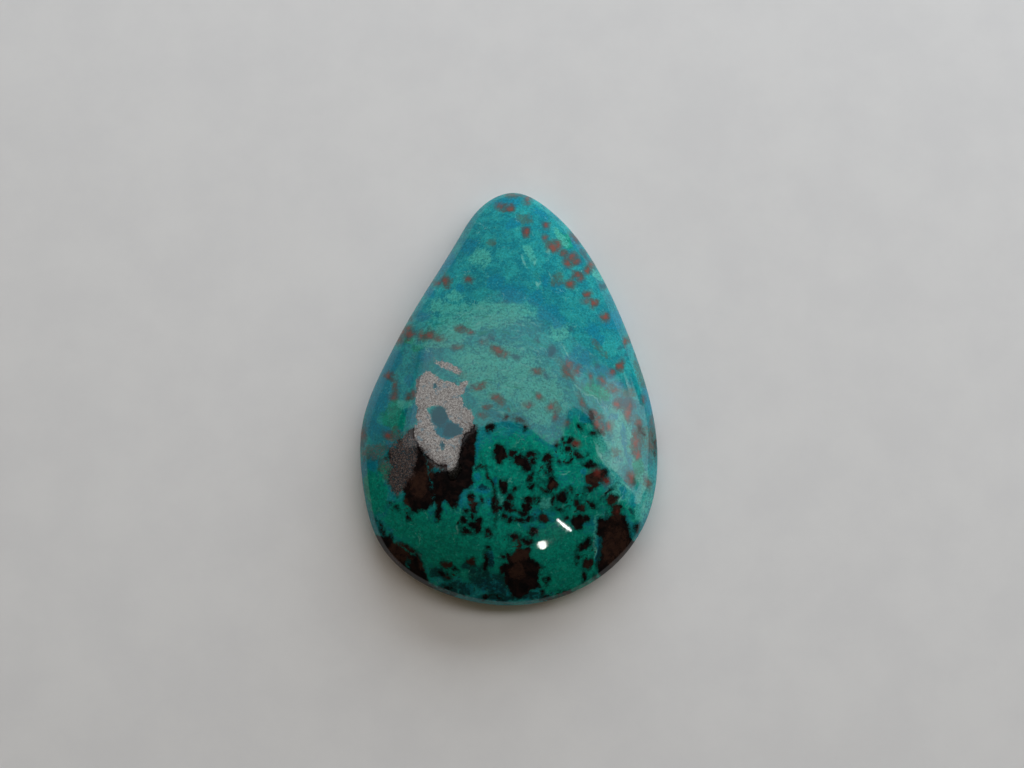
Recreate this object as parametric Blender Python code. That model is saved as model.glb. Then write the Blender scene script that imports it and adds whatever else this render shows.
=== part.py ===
"""A polished pear-shaped cabochon of chrysocolla, cut from one piece of stone.

The stone lies on its flat back at z = 0, with its middle over the origin and
its point towards +Y. The dome, its low swells, the wall round the rim and the
small bevel at the back are all one closed body.
"""

import math
from collections import namedtuple

import bmesh
import bpy
import numpy as np

MM = 0.001

# Sizes in millimetres
THICKNESS = 6.7
RIM_HEIGHT = 1.8
CORNER_RADIUS = 0.30
CORNER_START = math.radians(60)
WALL_LEAN = 0.25
BACK_BEVEL = 0.35

# The outline seen from above, in millimetres, anticlockwise from the right
# flank: up to the rounded point, down the left flank to the low left corner,
# and round the full bottom.
OUTLINE = (
    (14.9, -4.8), (12.95, 3.8), (8.45, 14.3), (4.05, 19.6),
    (0.4, 21.3), (-2.4, 20.15), (-5.2, 16.3), (-12.3, 3.6),
    (-14.75, -2.9), (-14.6, -9.3), (-12.65, -15.4), (-10.5, -17.75),
    (-6.0, -20.2), (-0.5, -21.25), (6.5, -19.9), (13.2, -13.9),
)

# The dome is highest over CROWN. Its inner level lines are ovals with the half
# widths OVAL, and its outer ones follow the outline.
CROWN = (0.0, -2.5)
OVAL = (15.0, 20.0)
DOME_FULLNESS = 0.985
DOME_ROUNDNESS = 0.62

# Low swells left by hand polishing, in millimetres, with the turn in degrees:
# place, half width across, half length, turn of the length from +Y, height
Swell = namedtuple("Swell", "x y across along turn height")
SWELLS = (
    Swell(-11.5, 9.5, 5.0, 6.0, -30.0, 1.40),
    Swell(14.0, 1.5, 4.5, 6.0, 20.0, 0.80),
    Swell(-5.0, -13.6, 4.4, 5.1, 7.0, 0.69),
    Swell(4.4, -9.5, 2.15, 4.2, 18.0, 0.21),
    Swell(10.4, -4.9, 2.05, 9.1, 35.0, 0.31),
    Swell(13.25, -14.5, 2.05, 6.65, 30.0, 0.73),
    Swell(8.95, -10.75, 2.75, 5.1, -5.0, 0.42),
)

# Rings of the mesh from the crown down to the middle of the back
SEGMENTS = 96
CROWN_RINGS = 22
CORNER_RINGS = 2
WALL_RINGS = 2
BEVEL_RINGS = 1
BACK_RINGS = 3
RING_STEPS = CROWN_RINGS + CORNER_RINGS + WALL_RINGS + BEVEL_RINGS + BACK_RINGS

SPAN_STEPS = 100

STONE_COLOUR = (0.012, 0.21, 0.22, 1.0)
STONE_ROUGHNESS = 0.12


def closed_spline(points, count):
    """A smooth closed curve through the points, cut into count even steps.

    It is a periodic cubic spline whose parameter is the distance between
    neighbouring points.
    """
    places = np.array(points, dtype=float)
    number = len(places)
    after = np.roll(places, -1, axis=0)
    spans = np.linalg.norm(after - places, axis=1)
    slopes = (after - places) / spans[:, None]
    system = np.zeros((number, number))
    for i in range(number):
        system[i, i - 1] = spans[i - 1]
        system[i, i] = 2.0 * (spans[i - 1] + spans[i])
        system[i, (i + 1) % number] = spans[i]
    bends = np.linalg.solve(system, 6.0 * (slopes - np.roll(slopes, 1, axis=0)))
    next_bends = np.roll(bends, -1, axis=0)
    pieces = []
    for i in range(number):
        span = spans[i]
        along = np.linspace(0.0, span, SPAN_STEPS, endpoint=False)[:, None]
        left = span - along
        cubic = (bends[i] * left ** 3 + next_bends[i] * along ** 3) / (6.0 * span)
        start = (places[i] / span - bends[i] * span / 6.0) * left
        end = (after[i] / span - next_bends[i] * span / 6.0) * along
        pieces.append(cubic + start + end)
    curve = np.vstack(pieces + [pieces[0][:1]])
    lengths = np.linalg.norm(np.diff(curve, axis=0), axis=1)
    travelled = np.concatenate(([0.0], np.cumsum(lengths)))
    steps = np.linspace(0.0, travelled[-1], count, endpoint=False)
    return np.column_stack([np.interp(steps, travelled, curve[:, 0]),
                            np.interp(steps, travelled, curve[:, 1])])


def outward(outline):
    """The unit direction out of the outline at each of its points."""
    along = np.roll(outline, -1, axis=0) - np.roll(outline, 1, axis=0)
    across = np.column_stack([along[:, 1], -along[:, 0]])
    return across / np.linalg.norm(across, axis=1)[:, None]


def swell_height(places):
    """How far the swells raise the dome at each place."""
    total = np.zeros(len(places))
    for swell in SWELLS:
        turn = math.radians(swell.turn)
        dx = places[:, 0] - swell.x
        dy = places[:, 1] - swell.y
        across = (dx * math.cos(turn) + dy * math.sin(turn)) / swell.across
        along = (dy * math.cos(turn) - dx * math.sin(turn)) / swell.along
        total += swell.height * np.exp(-across ** 2 - along ** 2)
    return total


def dome_share(share):
    """The dome's height, from 1 at the crown to nearly 0 at the rim."""
    return (1.0 - DOME_FULLNESS * share ** 2) ** DOME_ROUNDNESS


def dome_ring(share, rim):
    """One ring of the dome: share 0 is the crown and share 1 the rim."""
    crown = np.array(CROWN)
    reach = rim - crown
    angle = np.arctan2(reach[:, 1] / OVAL[1], reach[:, 0] / OVAL[0])
    oval = np.column_stack([OVAL[0] * np.cos(angle), OVAL[1] * np.sin(angle)])
    places = crown + share * ((1.0 - share) * oval + share * reach)
    height = RIM_HEIGHT + (THICKNESS - RIM_HEIGHT) * dome_share(share)
    heights = height - (THICKNESS - RIM_HEIGHT) * dome_share(1.0) * share ** 2
    return places, heights + swell_height(places)


def stone_rings():
    """All rings of the stone from the crown to the middle of the back.

    Each is a pair: the places in the plan and the heights, in millimetres.
    """
    outline = closed_spline(OUTLINE, SEGMENTS)
    away = outward(outline)
    start_inset = CORNER_RADIUS * (1.0 - math.sin(CORNER_START))
    rim = outline - start_inset * away
    rings = []
    for k in range(CROWN_RINGS + 1):
        rings.append(dome_ring(math.sin(0.5 * math.pi * k / CROWN_RINGS), rim))
    rim_heights = rings[-1][1]
    for k in range(1, CORNER_RINGS + 1):
        angle = CORNER_START + (0.5 * math.pi - CORNER_START) * k / CORNER_RINGS
        inset = CORNER_RADIUS * (1.0 - math.sin(angle))
        drop = CORNER_RADIUS * (math.cos(CORNER_START) - math.cos(angle))
        rings.append((outline - inset * away, rim_heights - drop))
    wall_top = rings[-1][1]
    for k in range(1, WALL_RINGS + 1):
        share = k / WALL_RINGS
        heights = wall_top + (BACK_BEVEL - wall_top) * share
        rings.append((outline - WALL_LEAN * share * away, heights))
    for k in range(1, BEVEL_RINGS + 1):
        share = k / BEVEL_RINGS
        inset = WALL_LEAN + BACK_BEVEL * share
        heights = np.full(SEGMENTS, BACK_BEVEL * (1.0 - share))
        rings.append((outline - inset * away, heights))
    back_edge = rings[-1][0]
    middle = np.array(CROWN)
    for k in range(1, BACK_RINGS + 1):
        share = 1.0 - k / BACK_RINGS
        rings.append((middle + (back_edge - middle) * share, np.zeros(SEGMENTS)))
    return rings


def build_mesh():
    """A sphere of rings and segments, drawn out into the form of the stone."""
    rings = stone_rings()
    form = bmesh.new()
    bmesh.ops.create_uvsphere(
        form, u_segments=SEGMENTS, v_segments=RING_STEPS, radius=1.0)
    for vertex in form.verts:
        polar = math.acos(max(-1.0, min(1.0, vertex.co.z)))
        ring = round(polar / math.pi * RING_STEPS)
        turn = math.atan2(vertex.co.y, vertex.co.x) / (2.0 * math.pi)
        segment = round(turn * SEGMENTS) % SEGMENTS
        places, heights = rings[ring]
        vertex.co.x = places[segment, 0] * MM
        vertex.co.y = places[segment, 1] * MM
        vertex.co.z = heights[segment] * MM
    mesh = bpy.data.meshes.new("cabochon")
    form.to_mesh(mesh)
    form.free()
    mesh.shade_smooth()
    mesh.set_sharp_from_angle(angle=math.radians(35))
    return mesh


def stone_material():
    """The blue-green of polished chrysocolla."""
    material = bpy.data.materials.new("polished chrysocolla")
    material.use_nodes = True
    shader = material.node_tree.nodes["Principled BSDF"]
    shader.inputs["Base Color"].default_value = STONE_COLOUR
    shader.inputs["Roughness"].default_value = STONE_ROUGHNESS
    shader.inputs["Metallic"].default_value = 0.0
    material.diffuse_color = STONE_COLOUR
    return material


def clear_scene():
    """Take every object out of the scene."""
    for item in list(bpy.data.objects):
        bpy.data.objects.remove(item, do_unlink=True)


def main():
    """Build the cabochon in a collection of its own."""
    clear_scene()
    collection = bpy.data.collections.new("chrysocolla cabochon")
    bpy.context.scene.collection.children.link(collection)
    stone = bpy.data.objects.new("cabochon", build_mesh())
    stone.data.materials.append(stone_material())
    collection.objects.link(stone)


if __name__ == "__main__":
    main()
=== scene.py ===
"""A polished pear-shaped cabochon of chrysocolla, dressed over its solid.

The stone is one closed skin, worked out from the same sizes as the solid. The
minerals grown into it, and a few painted glints among the veins, are painted by
place: each has a field over the skin, in millimetres, and the finish turns the
fields into colour, metal and polish.
"""

import logging
import math
from dataclasses import dataclass
from enum import Enum

import bpy
import numpy as np
from mathutils import Matrix, Vector


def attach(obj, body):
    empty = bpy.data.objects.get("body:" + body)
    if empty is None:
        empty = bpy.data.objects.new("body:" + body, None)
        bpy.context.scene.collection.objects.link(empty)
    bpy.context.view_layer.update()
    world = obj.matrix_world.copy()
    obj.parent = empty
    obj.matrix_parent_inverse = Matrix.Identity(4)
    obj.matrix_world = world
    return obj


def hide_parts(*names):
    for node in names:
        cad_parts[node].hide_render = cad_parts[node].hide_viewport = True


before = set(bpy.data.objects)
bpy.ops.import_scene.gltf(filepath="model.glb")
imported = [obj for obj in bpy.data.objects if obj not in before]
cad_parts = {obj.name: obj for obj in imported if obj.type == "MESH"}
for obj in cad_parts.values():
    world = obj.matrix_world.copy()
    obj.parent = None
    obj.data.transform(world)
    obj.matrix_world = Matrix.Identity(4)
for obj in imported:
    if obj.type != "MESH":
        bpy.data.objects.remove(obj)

log = logging.getLogger("cabochon")

MM = 0.001
PHOTO_WIDE = 1024
PHOTO_TALL = 768
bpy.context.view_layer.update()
RIPPLE_WAVES = 14
RIPPLE_SPREAD = (0.7, 1.5)
RIPPLE_STRENGTH = 0.6
NOISE_MIDDLE = 0.5

Array = np.ndarray
Rows = tuple[tuple[float, ...], ...]
Triple = tuple[float, float, float]
Colour = Triple
Socket = bpy.types.NodeSocket


class Mineral(Enum):
    """The minerals, stains and a few painted glints of the stone, each a field over its skin."""

    BLUE = "blue"
    GREEN = "green"
    PALE = "pale"
    DEEP = "deep"
    OLIVE = "olive"
    BROWN = "brown"
    ROSE = "rose"
    SHINE = "shine"
    PEPPER = "pepper"
    WISPS = "wisps"
    OXIDE = "oxide"
    CUPRITE = "cuprite"
    SLATE = "slate"
    # Pale veins, and a few painted glints of the lamps laid among them
    VEIN_AND_GLINT = "vein_and_glint"
    POLISH = "polish"


# Where each mineral lies, in pixels of the photo: middle across, middle down,
# half width, half height, and the clockwise turn in degrees where it is turned.
SOFT_MARKS: dict[Mineral, Rows] = {
    Mineral.BLUE: (
        (426, 354, 9, 6), (396, 356, 6, 9, -30), (379, 396, 13, 22, 15), (371, 426, 7, 14),
        (389, 370, 7, 15, 30), (508, 203, 13, 6), (540, 214, 9, 4, 35), (364, 468, 3, 9),
        (409, 381, 5, 7), (413, 414, 3, 11), (390, 446, 6, 5), (384, 430, 8, 5),
        (447, 262, 12, 7, -45), (460, 288, 6, 4), (430, 292, 5, 8, -35), (423, 317, 7, 5),
        (470, 246, 10, 7, -40), (496, 283, 10, 8), (514, 294, 15, 11, 10), (537, 298, 9, 8),
        (545, 282, 4, 5), (558, 288, 7, 6), (548, 312, 12, 9), (560, 322, 9, 7), (579, 264, 3, 3),
        (577, 246, 10, 3, 52), (578, 360, 13, 15), (602, 372, 13, 7, 20), (599, 340, 7, 6),
        (617, 384, 7, 4), (514, 224, 9, 5), (592, 330, 7, 7), (649, 401, 5, 18, -12),
        (612, 417, 4, 4), (625, 440, 2.5, 20, -8), (631, 466, 2.5, 10, -12), (585, 417, 3.5, 6),
        (584, 472, 4, 4.5), (623, 492, 4, 6), (590, 418, 3, 5), (528, 463, 3, 6), (485, 585, 3, 8),
        (490, 558, 4, 9), (599, 550, 4.5, 14, 4), (483, 490, 7, 5), (478, 477, 3, 5),
        (495, 482, 3, 3), (490, 501, 4, 5), (460, 498, 2, 8), (478, 446, 2, 11, 6), (373, 462, 6, 9),
        (442, 445, 5, 6), (436, 385, 4, 4), (435, 394, 4, 2), (448, 428, 18, 14), (429, 427, 4, 6),
        (500, 600, 9, 3), (497, 385, 3, 2.5), (520, 414, 2.5, 2), (613, 320, 9, 12, 60),
    ),
    Mineral.GREEN: (
        (518, 474, 50, 42), (470, 545, 74, 40), (560, 560, 46, 40), (580, 452, 24, 34),
        (409, 341, 5, 4), (418, 349, 6, 4), (376, 492, 11, 24, -14), (564, 240, 11, 5, 45),
        (384, 472, 6, 8), (633, 513, 7, 10, -40), (616, 505, 12, 16), (408, 520, 26, 20, 20),
        (637, 470, 8, 14), (578, 503, 32, 20), (394, 416, 12, 19), (597, 392, 14, 8, 25),
    ),
    Mineral.PALE: (
        (485, 316, 58, 15, -6), (440, 338, 30, 12), (500, 372, 52, 32, 12), (540, 398, 28, 28, 30),
        (560, 331, 12, 12), (606, 450, 8, 30, -20), (621, 484, 6, 16, -40), (646, 482, 6, 20, -4),
        (622, 434, 12, 32, -12), (561, 238, 11, 4.5, 50), (597, 275, 7, 4, 55), (618, 492, 12, 9, 35),
        (644, 502, 9, 22, 20), (440, 306, 12, 8), (455, 296, 10, 6), (500, 500, 4, 6),
        (547, 503, 8, 6), (596, 530, 2.5, 20), (481, 258, 12, 10), (405, 404, 10, 6),
        (530, 254, 10, 5, 60), (462, 312, 26, 9),
    ),
    Mineral.DEEP: (
        (459, 589, 15, 8, 12), (480, 577, 13, 12), (497, 586, 12, 15), (470, 566, 9, 5),
        (440, 574, 12, 7, 25), (600, 548, 4, 13, 4), (490, 560, 4, 8), (633, 511, 3, 6, -38),
        (417, 560, 8, 8, 30), (484, 488, 5, 4), (500, 598, 14, 4), (445, 592, 12, 4, 18),
        (406, 558, 6, 9, -35), (530, 596, 26, 3.5),
    ),
    Mineral.OLIVE: (
        (523, 219, 9, 7), (526, 232, 5, 5), (552, 246, 8, 6), (564, 253, 5, 5), (571, 261, 8, 6),
        (578, 276, 8, 5), (570, 284, 6, 6), (589, 268, 6, 5, 45), (583, 253, 4, 6, -40),
        (558, 279, 8, 9), (603, 286, 5, 4.5), (588, 294, 5, 4), (594, 303, 5, 4), (605, 318, 5, 6),
        (599, 348, 3.5, 13, -40), (491, 243, 6, 5), (626, 342, 3, 5), (611, 388, 7, 7),
        (629, 393, 8, 6), (626, 404, 12, 7), (596, 416, 8, 5, 20), (638, 426, 5, 8), (508, 208, 8, 4),
        (620, 367, 5, 6), (568, 372, 9, 9), (447, 282, 6, 6), (469, 280, 5, 4), (430, 336, 12, 6),
        (404, 333, 9, 9), (462, 330, 9, 4), (498, 351, 8, 5, 35), (390, 376, 5, 5), (395, 390, 4, 8),
        (391, 436, 5, 5), (411, 396, 7, 4), (510, 410, 4, 3.5), (482, 386, 7, 4), (498, 399, 6, 5),
        (636, 444, 7, 15), (631, 478, 6, 8), (616, 453, 7, 5), (641, 372, 6, 20, -14),
        (646, 438, 6, 14), (370, 455, 11, 8), (382, 449, 12, 7), (384, 463, 8, 9), (648, 484, 4, 5),
        (652, 440, 4, 14), (390, 478, 6, 8), (396, 434, 6, 8), (557, 408, 5, 8), (540, 372, 6, 4),
        (488, 407, 6, 4), (612, 499, 7, 6),
    ),
    Mineral.BROWN: (
        (403, 464, 13, 22), (398, 478, 10, 12), (405, 503, 5, 6), (419, 484, 9, 15),
        (594, 478, 12, 10), (615, 546, 14, 22), (516, 546, 6, 9), (518, 571, 8, 9), (520, 556, 10, 6),
        (400, 552, 12, 14, 35), (425, 560, 8, 12), (449, 579, 8, 5), (471, 562, 5, 5),
        (447, 564, 5, 4), (611, 500, 6, 5), (616, 513, 6, 9), (553, 485, 3, 4), (582, 508, 4, 5),
        (543, 519, 5, 3.5), (372, 452, 14, 8), (387, 470, 6, 12), (588, 564, 5, 5), (472, 502, 6, 5),
        (565, 594, 9, 3), (652, 440, 4, 16), (436, 521, 3, 4), (430, 470, 8, 7), (400, 448, 10, 12),
    ),
    Mineral.ROSE: (
        (403, 460, 13, 22), (398, 478, 10, 12), (372, 452, 14, 8), (387, 470, 6, 12),
        (402, 444, 14, 12), (396, 490, 6, 6),
    ),
    Mineral.SHINE: (
        (441, 388, 42, 28), (457, 410, 22, 24), (431, 424, 17, 32), (443, 438, 20, 27),
        (453, 462, 7, 17), (448, 367, 24, 12, 25),
    ),
    Mineral.PEPPER: (
        (470, 524, 16, 12), (500, 506, 18, 14), (575, 500, 20, 16), (588, 548, 12, 16),
        (516, 545, 14, 12), (402, 510, 10, 7), (568, 452, 16, 14), (545, 475, 10, 18),
        (532, 512, 16, 12), (556, 594, 20, 4), (612, 512, 12, 10), (450, 574, 12, 9),
        (524, 458, 20, 12), (600, 477, 10, 10),
    ),
    Mineral.WISPS: (
        (500, 380, 84, 52), (590, 400, 46, 40), (618, 455, 34, 60), (480, 325, 70, 18),
    ),
}

CRISP_MARKS: dict[Mineral, Rows] = {
    Mineral.OXIDE: (
        (449, 367, 15, 4.6, 25), (500, 453, 7, 8), (500, 460, 4, 4.5), (512, 453, 3, 4),
        (520, 461, 7, 5.5), (526, 465, 4.5, 5.5), (530, 455, 5, 2.5), (533, 461, 1.6, 4),
        (504, 487, 3.6, 6), (510, 497, 4.5, 4), (505, 503, 3, 2.5), (471, 497, 3, 5),
        (474, 505, 3.5, 2.5), (481, 501, 2, 2.5), (467, 511, 2.5, 2), (475, 510, 3.5, 3),
        (472, 516, 2.5, 2.5), (463, 521, 2.5, 3), (466, 531, 5, 2.6, 8), (477, 527, 4, 5),
        (479, 521, 3.5, 3), (472, 525, 3.5, 2.6), (490, 480, 1.2, 11, -20), (495, 503, 1.6, 12),
        (500, 509, 4, 2.5), (504, 516, 2, 3), (481, 467, 4, 1.5), (549, 470, 2.6, 6),
        (552, 484, 4.6, 6.5), (548, 458, 4, 3), (545, 491, 7, 1.3, 32), (530, 478, 2.3, 4),
        (531, 486, 2.5, 3), (515, 489, 2, 2), (529, 500, 4.5, 3), (537, 500, 4, 3.2),
        (526, 507, 3.5, 4), (523, 513, 3.5, 2.5), (513, 510, 4, 2), (509, 520, 3.5, 3),
        (520, 520, 5, 2.5), (528, 519, 3, 2), (543, 519, 5, 3.2), (508, 506, 4, 3),
        (559, 510, 3.5, 2.2), (562, 497, 5.6, 5), (571, 490, 1.5, 3, -30), (577, 502, 2.6, 4, -30),
        (581, 509, 3.2, 4.4, -40), (592, 505, 3.6, 2, 30), (550, 461, 1.6, 4), (559, 462, 1.5, 2),
        (568, 463, 2, 1.5), (571, 460, 1.2, 3, 20), (594, 480, 8, 7.6, -20), (603, 473, 4, 5),
        (590, 465, 5, 2, 15), (591, 488, 4, 2.4), (612, 499, 5.4, 4.2, -48), (608, 493, 5, 1.1, -40),
        (616, 511, 4.6, 7), (619, 507, 3, 3), (578, 522, 7, 7), (578, 526, 5.5, 5),
        (587, 519, 3, 3.5), (566, 517, 2, 2), (584, 545, 7.5, 3.4, -42), (588, 564, 5.3, 4.8),
        (578, 557, 2.5, 2.2), (577, 564, 1.4, 1.4), (585, 577, 2.1, 5), (547, 580, 2.2, 4),
        (541, 591, 2, 2.2), (567, 593, 7, 1.8, -15), (551, 599, 6, 1.5, -5), (594, 577, 1, 2),
        (515, 536, 5, 3.6), (534, 531, 4, 3.8), (532, 535, 3, 2), (519, 545, 2.6, 6),
        (527, 551, 3.6, 3.4), (528, 542, 3, 2.4), (524, 539, 2.4, 1.6), (489, 534, 3.2, 3.8),
        (488, 548, 2, 1.8), (486, 563, 2.3, 8), (503, 557, 2.4, 2), (471, 562, 3.8, 3.8),
        (447, 564, 4.5, 2.8, 25), (454, 569, 3, 1.8, 40), (442, 574, 4, 2.4, -10), (449, 577, 3, 2),
        (486, 597, 4, 1.4), (499, 597, 5, 1.8, 35), (382, 529, 1.5, 6, -28), (409, 518, 2.4, 3.2),
        (396, 508, 2.2, 1.8), (390, 503, 1.6, 1.4), (490, 427, 3.4, 3.8), (506, 417, 2, 1),
        (519, 421, 3, 1.3, 20), (525, 427, 2, 1.4), (557, 446, 1.6, 2), (563, 438, 1.8, 1.8),
        (564, 441, 1.8, 2), (581, 427, 2.1, 2.4), (593, 435, 2.5, 1.7, 20), (591, 417, 2.3, 4),
        (600, 431, 1.5, 2.2, -15), (570, 441, 2.6, 3.4), (567, 449, 2.2, 2.6),
        (578, 455, 4.2, 1.8, 32), (586, 455, 2, 1.2), (656, 446, 1.5, 8), (636, 527, 1.8, 4, 20),
        (641, 431, 1.6, 3, -15), (553, 500, 1.6, 4), (448, 587, 3, 1.5),
    ),
    Mineral.CUPRITE: (
        (513, 195, 5, 1.3), (528, 200, 3, 2.2), (500, 206, 2.8, 2.2), (510, 208, 3, 2.4),
        (526, 232, 3, 3), (547, 225, 2, 2), (545, 238, 2.6, 2.6), (553, 248, 4.4, 3.4),
        (558, 245, 3, 4), (564, 253, 2.4, 2), (568, 263, 3.2, 5, -30), (573, 257, 4, 2.8, 20),
        (577, 261, 2.4, 2), (577, 275, 3.5, 2.4), (581, 278, 3, 2.8), (570, 284, 4.2, 4),
        (587, 270, 2.8, 2.8), (592, 265, 2.4, 4, -35), (588, 294, 3.2, 3), (594, 303, 3.4, 2.7),
        (587, 301, 2.5, 1.4), (604, 317, 3, 4, -20), (574, 238, 1.6, 4, -42), (626, 342, 1.7, 3),
        (620, 366, 2.8, 4.4, 12), (612, 373, 3, 2.6), (591, 378, 2, 3), (602, 381, 3, 2.9),
        (568, 372, 1.7, 8, -38), (569, 365, 2.2, 2.8), (577, 370, 2, 2.8), (617, 404, 3, 4.4),
        (628, 413, 3.6, 7, -12), (629, 406, 2.2, 2.6), (643, 400, 1.5, 2.2), (639, 425, 2.8, 6, -15),
        (616, 392, 2.2, 2), (583, 402, 2, 6, -28), (595, 414, 3.2, 2.6), (597, 425, 3.2, 6, -15),
        (609, 427, 3.4, 4), (602, 427, 2, 4), (566, 423, 2.1, 2.4), (576, 444, 4.0, 3.8),
        (636, 442, 3, 8), (638, 455, 4, 4.5), (651, 441, 1.3, 8), (652, 420, 1.3, 3.4),
        (631, 478, 3.2, 5.6, -24), (648, 483, 1.8, 3.8, -15), (597, 473, 5.2, 4.4),
        (606, 481, 4.2, 4.6), (617, 512, 2.6, 3), (446, 281, 2.8, 4), (437, 283, 2, 1.6),
        (469, 280, 3, 2.3), (409, 318, 1.8, 2), (409, 328, 3, 2.2), (403, 332, 2.5, 3),
        (410, 334, 4, 2.8), (399, 340, 2.6, 2.4), (421, 335, 2.7, 3.6), (429, 335, 3.8, 4.2),
        (439, 338, 3.6, 1.6), (459, 328, 2.5, 1.8), (470, 332, 2.6, 2.2), (483, 342, 2, 1.4),
        (497, 350, 5, 3, 35), (505, 355, 2.2, 1.8), (389, 375, 3, 3), (395, 387, 1.8, 5),
        (394, 396, 3.2, 2.8), (409, 397, 1.8, 1.6), (414, 394, 2.4, 2), (388, 435, 3.8, 3.2),
        (362, 434, 1.6, 6), (477, 387, 3.2, 1.4), (482, 384, 2.5, 1.6), (497, 397, 3.2, 2.4),
        (501, 404, 2, 2), (486, 407, 1.8, 1.8), (482, 415, 2.2, 1.4), (528, 405, 3.4, 2),
        (539, 396, 2, 2.4), (551, 407, 2.8, 3.6), (555, 417, 1.6, 3), (536, 371, 4, 2.2, 15),
        (457, 347, 3, 1.8), (455, 371, 5, 1.6, 25), (600, 417, 2.4, 2), (622, 549, 1.8, 1.8),
    ),
    Mineral.SLATE: (
        (492, 337, 4, 3), (516, 357, 6, 3.6, 15), (538, 340, 3, 2.6), (552, 351, 5, 5.4),
        (546, 376, 3, 2.4), (625, 402, 10, 5), (632, 406, 4, 6), (556, 417, 2.4, 4.4),
        (572, 329, 1.8, 1.8), (597, 365, 2, 2), (620, 348, 2.5, 2), (626, 357, 2, 2),
        (505, 302, 3.4, 1.4), (603, 286, 3.6, 3.2), (526, 230, 4, 3), (545, 224, 3, 2),
        (440, 416, 9, 10), (453, 430, 10, 8), (436, 385, 5, 4), (442, 445, 4, 5),
        (576, 240, 6, 1.6, 48), (584, 254, 5, 1.6, 55),
    ),
    # Pale veins and scratches; the dots at (498, 517), (565, 473) and (643, 507) are painted glints
    # of the lamps
    Mineral.VEIN_AND_GLINT: (
        (567, 352, 6.5, 0.7, 54), (482, 225, 8, 0.7, 28), (524, 260, 0.8, 6, -20), (548, 250, 0.8, 4),
        (551, 276, 4, 0.6, 55), (489, 448, 0.9, 1.1), (498, 517, 1.1, 0.9), (457, 528, 0.6, 4),
        (453, 538, 0.5, 4), (565, 473, 3, 0.7, -8), (643, 507, 0.9, 1.8, -15), (581, 271, 1, 1),
        (538, 284, 0.6, 4), (535, 262, 0.6, 3), (409, 549, 12, 0.9, 32), (617, 505, 0.8, 5, 10),
        (606, 492, 6, 0.8, -42), (599, 452, 1, 12, -25), (610, 470, 1, 12, -38),
        (626, 486, 9, 0.9, 38), (594, 399, 11, 0.7, 38), (579, 390, 9, 0.6, 40), (469, 572, 0.9, 1),
        (620, 500, 0.6, 8, 18), (435, 500, 0.6, 4), (594, 548, 0.8, 12),
    ),
}

# Dark masses with a shore of their own, as corners in the same pixels
OXIDE_MASSES: tuple[Rows, ...] = (
    (
        (417, 378), (423, 374), (430, 371), (437, 376), (446, 380), (452, 383), (459, 384),
        (463, 381), (467, 383), (465, 390), (460, 397), (463, 403), (469, 407), (472, 413),
        (473, 420), (476, 429), (476, 440), (474, 452), (475, 461), (474, 467), (472, 474),
        (473, 481), (465, 490), (458, 497), (456, 506), (454, 509), (449, 504), (444, 500),
        (441, 501), (440, 521), (437, 521), (436, 505), (434, 501), (431, 505), (427, 510),
        (422, 508), (416, 512), (412, 512), (409, 507), (404, 503), (405, 494), (401, 488),
        (397, 496), (394, 492), (389, 479), (391, 466), (388, 458), (390, 453), (397, 441),
        (404, 435), (411, 430), (417, 423), (416, 400),
    ),
    (
        (507, 551), (511, 554), (517, 552), (522, 550), (528, 552), (532, 558), (536, 563),
        (544, 567), (538, 569), (540, 577), (537, 587), (532, 591), (523, 597), (516, 599),
        (511, 597), (509, 589), (505, 583), (505, 575), (501, 573), (501, 568), (507, 563),
        (507, 559),
    ),
    (
        (600, 517), (606, 521), (611, 514), (618, 512), (626, 518), (629, 528), (631, 538),
        (636, 544), (640, 552), (622, 570), (606, 584), (600, 575), (597, 567), (601, 556),
        (603, 545), (601, 536), (597, 528),
    ),
    (
        (384, 537), (389, 535), (393, 538), (395, 543), (400, 543), (409, 546), (414, 551),
        (417, 554), (420, 559), (424, 564), (424, 571), (427, 577), (434, 587), (426, 596),
        (398, 580), (378, 556), (374, 537),
    ),
)

# Islands of blue chrysocolla inside the largest dark mass
ISLANDS: tuple[Rows, ...] = (
    (
        (427, 409), (432, 406), (441, 406), (445, 409), (446, 414), (451, 420), (457, 424),
        (463, 427), (462, 432), (457, 437), (449, 439), (440, 437), (435, 432), (434, 425),
        (430, 417), (426, 413),
    ),
)
ISLAND_MARKS: Rows = (
    (436, 386, 3, 2), (442, 445, 3, 4), (436, 470, 4.5, 2.2), (429, 474, 0.8, 11, -12),
    (433, 497, 1.3, 1.3), (600, 483, 2.2, 2.6), (409, 551, 10, 0.8, 32), (408, 564, 1.4, 4, 10),
    (537, 500, 1.6, 1.2), (489, 534, 1, 1),
)


def smooth_step(values: Array, low: float, high: float) -> Array:
    """A ramp from 0 at low to 1 at high with flat ends: 3t² - 2t³."""
    share = np.clip((values - low) / (high - low), 0.0, 1.0)
    return share * share * (3.0 - 2.0 * share)


def ripple(points: Array, size: float, seed: int) -> Array:
    """An uneven field without a direction, about -1 to 1.

    It is the sum of sines that run through space in chance directions, with
    wavelengths spread about the size.

    Args:
        points: Places, one row of three millimetres each.
        size: The usual wavelength in millimetres.
        seed: Which of the many such fields to use.

    Returns:
        One value for each place.
    """
    chance = np.random.default_rng(seed)
    heading = chance.normal(size=(RIPPLE_WAVES, 3))
    heading /= np.linalg.norm(heading, axis=1)[:, None]
    length = size * chance.uniform(*RIPPLE_SPREAD, RIPPLE_WAVES)
    start = chance.uniform(0.0, 2.0 * math.pi, RIPPLE_WAVES)
    phase = points @ (2.0 * math.pi * heading / length[:, None]).T + start
    return np.sin(phase).sum(axis=1) * RIPPLE_STRENGTH / math.sqrt(RIPPLE_WAVES / 2.0)


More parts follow.
